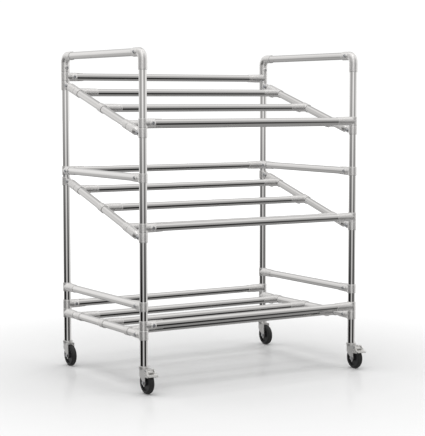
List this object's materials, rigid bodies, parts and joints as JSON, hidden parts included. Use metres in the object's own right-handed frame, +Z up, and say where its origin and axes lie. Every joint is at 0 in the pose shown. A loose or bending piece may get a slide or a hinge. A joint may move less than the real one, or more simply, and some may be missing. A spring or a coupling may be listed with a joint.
{
  "type": "rack trolley",
  "caption": "Open shelf trolley of round aluminium tube and cast pipe joints, with sloped and level tube shelves, side handles and swivel casters.",
  "frame": {"origin": "on the floor, midway between the four uprights", "axes": "+X to the trolley's right, +Y from the low front edge of the shelves to the rear, +Z up"},
  "size_m": [0.9644, 0.7216, 1.2265],
  "materials": {
    "tube": "satin drawn and anodised",
    "casting": "matte die-cast",
    "screw": "zinc plated",
    "fork_steel": "bright zinc plated, pressed",
    "pedal_steel": "bright zinc plated, pressed",
    "wheel_core": "moulded",
    "tyre": "matte rubber",
    "expander_rubber": "matte rubber"
  },
  "bodies": {
    "frame": {"bottom_cross_tubes": "tube", "bottom_front_rail": "tube", "bottom_rail_joints": "casting", "bottom_rear_rail": "tube", "bottom_side_guard_left": "tube", "bottom_side_guard_right": "tube", "bottom_side_rail_left": "tube", "bottom_side_rail_right": "tube", "caster_balls": "screw", "caster_collars": "fork_steel", "caster_expanders": "expander_rubber", "caster_stems": "screw", "cross_tube_joints": "casting", "handle_elbows": "casting", "handle_tube_left": "tube", "handle_tube_right": "tube", "joint_screws": "screw", "middle_corner_joints": "casting", "middle_cross_tubes": "tube", "middle_front_rail": "tube", "middle_rail_joints": "casting", "middle_rear_rail": "tube", "middle_side_guard_left": "tube", "middle_side_guard_right": "tube", "middle_side_rail_left": "tube", "middle_side_rail_right": "tube", "pivot_bolts": "screw", "pivot_clamps": "casting", "rail_sockets": "casting", "side_tube_joints": "casting", "top_cross_tubes": "tube", "top_front_rail": "tube", "top_rail_joints": "casting", "top_rear_rail": "tube", "top_side_rail_left": "tube", "top_side_rail_right": "tube", "upright_front_left": "tube", "upright_front_right": "tube", "upright_rear_left": "tube", "upright_rear_right": "tube"},
    "fork_body_front_left": {"fork_front_left": "fork_steel", "axle_front_left": "screw"},
    "wheel_body_front_left": {"hub_front_left": "wheel_core", "tyre_front_left": "tyre"},
    "fork_body_front_right": {"fork_front_right": "fork_steel", "axle_front_right": "screw"},
    "wheel_body_front_right": {"hub_front_right": "wheel_core", "tyre_front_right": "tyre"},
    "fork_body_rear_left": {"fork_rear_left": "fork_steel", "axle_rear_left": "screw"},
    "wheel_body_rear_left": {"hub_rear_left": "wheel_core", "tyre_rear_left": "tyre"},
    "fork_body_rear_right": {"fork_rear_right": "fork_steel", "axle_rear_right": "screw"},
    "wheel_body_rear_right": {"hub_rear_right": "wheel_core", "tyre_rear_right": "tyre"},
    "brake_body_left": {"brake_pedal_left": "pedal_steel"},
    "brake_body_right": {"brake_pedal_right": "pedal_steel"}
  },
  "joints": [
    {"name": "swivel_front_left", "type": "hinge", "parent": "frame", "child": "fork_body_front_left", "pos_m": [-0.46, -0.313, 0.097], "axis": [0, 0, 1], "continuous": true},
    {"name": "wheel_front_left", "type": "hinge", "parent": "fork_body_front_left", "child": "wheel_body_front_left", "pos_m": [-0.46, -0.337, 0.042], "axis": [1, 0, 0], "continuous": true},
    {"name": "swivel_front_right", "type": "hinge", "parent": "frame", "child": "fork_body_front_right", "pos_m": [0.46, -0.313, 0.097], "axis": [0, 0, 1], "continuous": true},
    {"name": "wheel_front_right", "type": "hinge", "parent": "fork_body_front_right", "child": "wheel_body_front_right", "pos_m": [0.46, -0.337, 0.042], "axis": [1, 0, 0], "continuous": true},
    {"name": "swivel_rear_left", "type": "hinge", "parent": "frame", "child": "fork_body_rear_left", "pos_m": [-0.46, 0.313, 0.097], "axis": [0, 0, 1], "continuous": true},
    {"name": "wheel_rear_left", "type": "hinge", "parent": "fork_body_rear_left", "child": "wheel_body_rear_left", "pos_m": [-0.46, 0.289, 0.042], "axis": [1, 0, 0], "continuous": true},
    {"name": "swivel_rear_right", "type": "hinge", "parent": "frame", "child": "fork_body_rear_right", "pos_m": [0.46, 0.313, 0.097], "axis": [0, 0, 1], "continuous": true},
    {"name": "wheel_rear_right", "type": "hinge", "parent": "fork_body_rear_right", "child": "wheel_body_rear_right", "pos_m": [0.46, 0.289, 0.042], "axis": [1, 0, 0], "continuous": true},
    {"name": "brake_pedal_left_tilt", "type": "hinge", "parent": "fork_body_front_left", "child": "brake_body_left", "pos_m": [-0.46, -0.353, 0.0875], "axis": [1, 0, 0], "range_deg": [0, 10]},
    {"name": "brake_pedal_right_tilt", "type": "hinge", "parent": "fork_body_front_right", "child": "brake_body_right", "pos_m": [0.46, -0.353, 0.0875], "axis": [1, 0, 0], "range_deg": [0, 10]}
  ]
}
